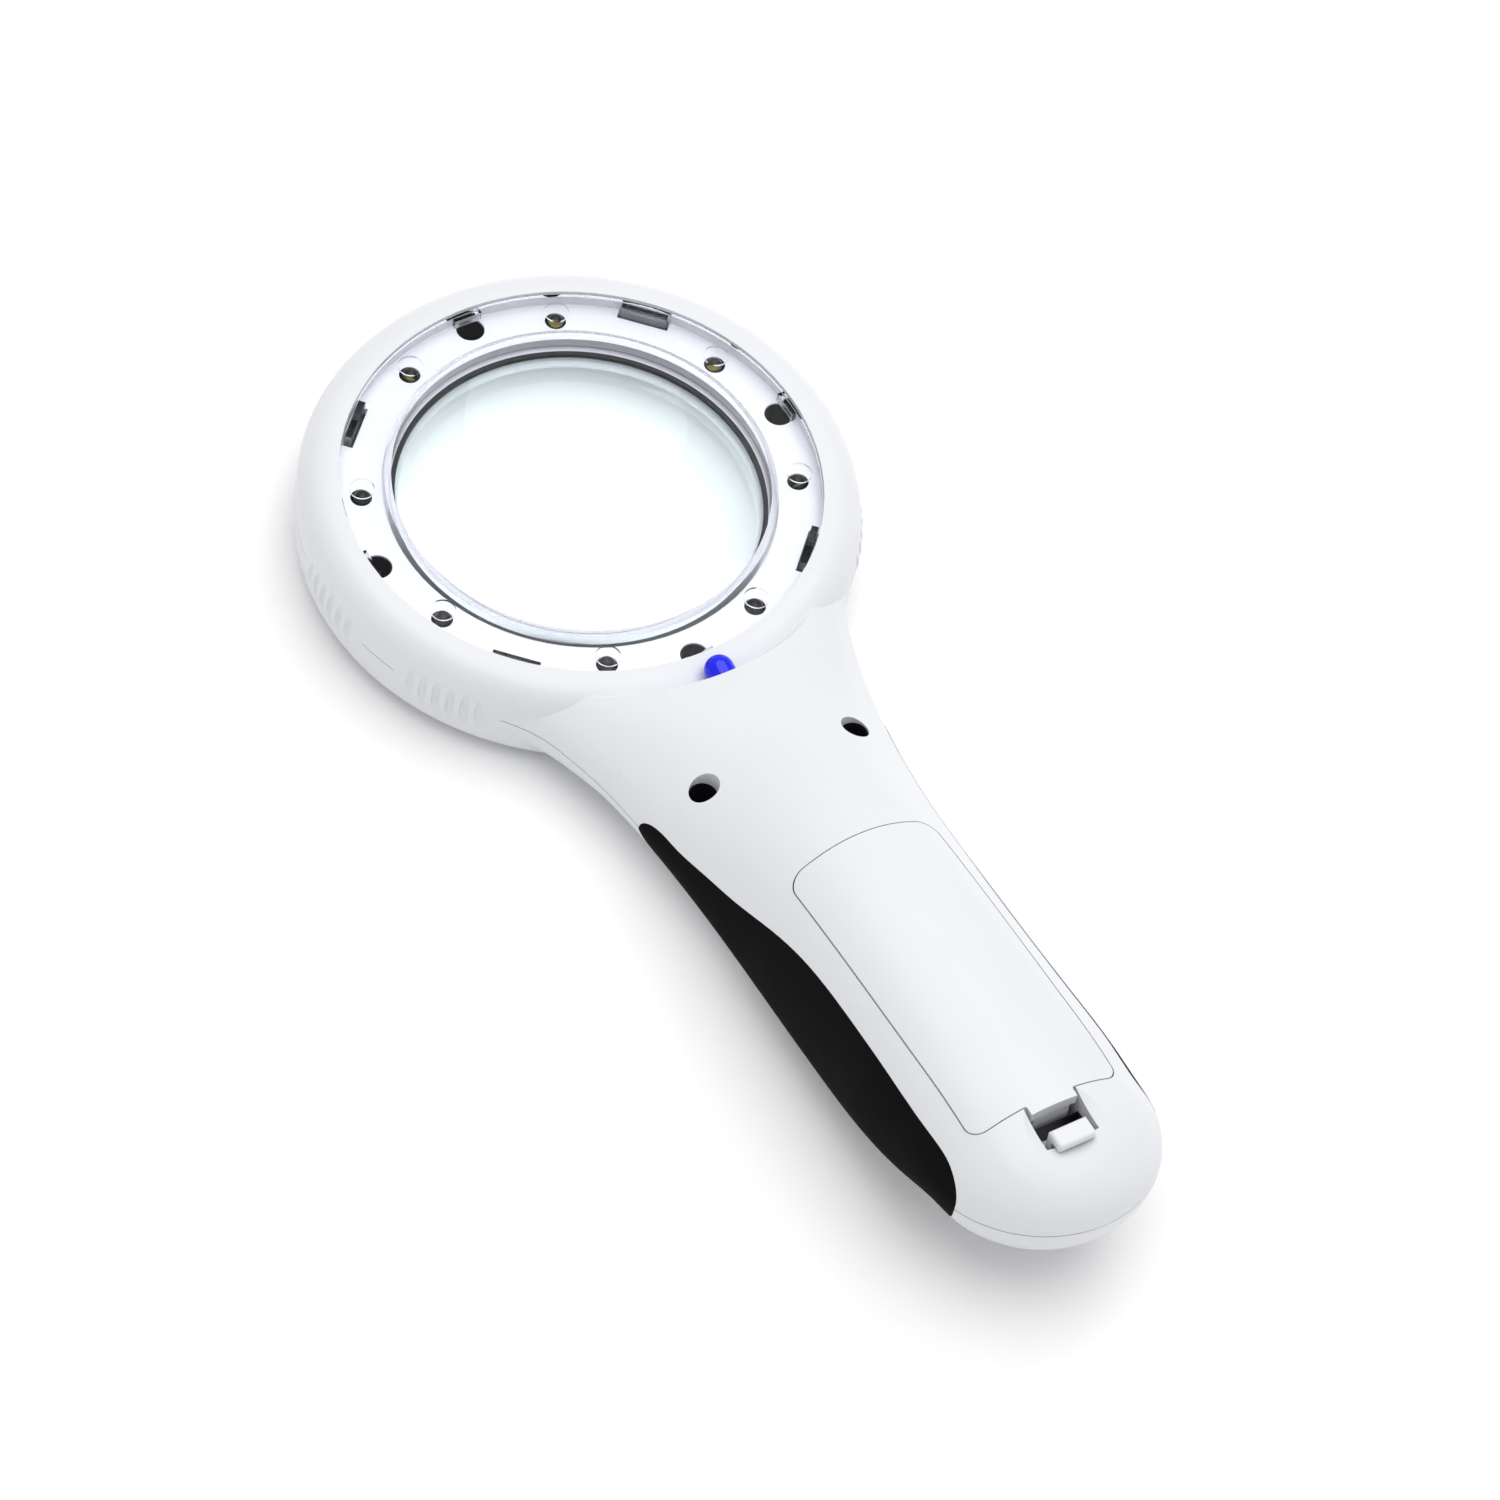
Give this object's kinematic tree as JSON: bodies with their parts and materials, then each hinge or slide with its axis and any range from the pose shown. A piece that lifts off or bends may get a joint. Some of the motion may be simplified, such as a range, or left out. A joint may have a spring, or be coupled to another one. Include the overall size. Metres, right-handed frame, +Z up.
{
  "type": "low vision magnifier",
  "caption": "Hand-held illuminated magnifier with a round lens, a ring of white LEDs, a UV LED, soft side grips and a battery handle.",
  "frame": {"origin": "bottom centre of the object's bounding box, on the surface it lies on with its LED side up", "axes": "+Y along the handle towards the lens head, +Z up out of the LED side along the lens axis, +X to the right"},
  "size_m": [0.0944, 0.2102, 0.0298],
  "materials": {
    "white_abs": "satin-gloss injection-moulded ABS",
    "white_abs_door": "satin-gloss injection-moulded ABS",
    "black_grip": "matte overmoulded TPE",
    "lens_clear": "polished, faint cyan tint",
    "seal_rubber": "matte",
    "cover_clear": "polished clear acrylic",
    "white_led_clear": "clear epoxy dome with yellow phosphor",
    "uv_led_blue": "transparent blue epoxy dome",
    "board_white": "white solder mask",
    "board_green": "green solder mask",
    "resistor_black": "matte",
    "screw_dark": "dark zinc",
    "switch_steel": "tinned",
    "switch_black": "matte",
    "knob_black": "fine texture",
    "cradle_white": "matte",
    "cell_jacket": "printed foil jacket, no lettering",
    "spring_steel": "nickel plated",
    "contact_nickel": "nickel plated",
    "lead_red": "PVC insulation",
    "lead_black": "PVC insulation"
  },
  "bodies": {
    "housing": {"led_side_shell": "white_abs", "underside_shell": "white_abs", "left_grip": "black_grip", "right_grip": "black_grip", "lens": "lens_clear", "lens_seal": "seal_rubber", "ring_cover": "cover_clear", "led_ring_board": "board_white", "control_board": "board_green", "board_resistors": "resistor_black", "uv_led": "uv_led_blue", "head_screws": "screw_dark", "neck_screws": "screw_dark", "switch_case": "switch_steel", "battery_cradle": "cradle_white", "white_led_1": "white_led_clear", "white_led_2": "white_led_clear", "white_led_3": "white_led_clear", "white_led_4": "white_led_clear", "white_led_5": "white_led_clear", "white_led_6": "white_led_clear", "white_led_7": "white_led_clear", "white_led_8": "white_led_clear", "aaa_cell_1": "cell_jacket", "aaa_cell_2": "cell_jacket", "aaa_cell_3": "cell_jacket", "cell_spring_1": "spring_steel", "cell_spring_2": "spring_steel", "cell_spring_3": "spring_steel", "contact_positive": "contact_nickel", "contact_link_front": "contact_nickel", "contact_link_rear": "contact_nickel", "contact_negative": "contact_nickel", "lead_battery_positive": "lead_red", "lead_battery_negative": "lead_black", "lead_ring_positive": "lead_red", "lead_ring_negative": "lead_black", "lead_uv_positive": "lead_red", "lead_uv_negative": "lead_black"},
    "power_knob": {"power_knob": "knob_black", "switch_actuator": "switch_black"},
    "battery_door": {"battery_door": "white_abs_door"},
    "door_latch": {"door_latch": "white_abs_door"}
  },
  "joints": [
    {"name": "power_slide", "type": "slide", "parent": "housing", "child": "power_knob", "axis": [0, 1, 0], "range_m": [-0.002, 0.002]},
    {"name": "door_hinge", "type": "hinge", "parent": "housing", "child": "battery_door", "pos_m": [0, -0.0294, 0.0277], "axis": [-1, 0, 0], "range_deg": [0, 65]},
    {"name": "latch_flex", "type": "hinge", "parent": "battery_door", "child": "door_latch", "pos_m": [0, -0.0866, 0.022], "axis": [-1, 0, 0], "range_deg": [0, 6], "stiffness_Nm_per_rad": 0.5}
  ]
}
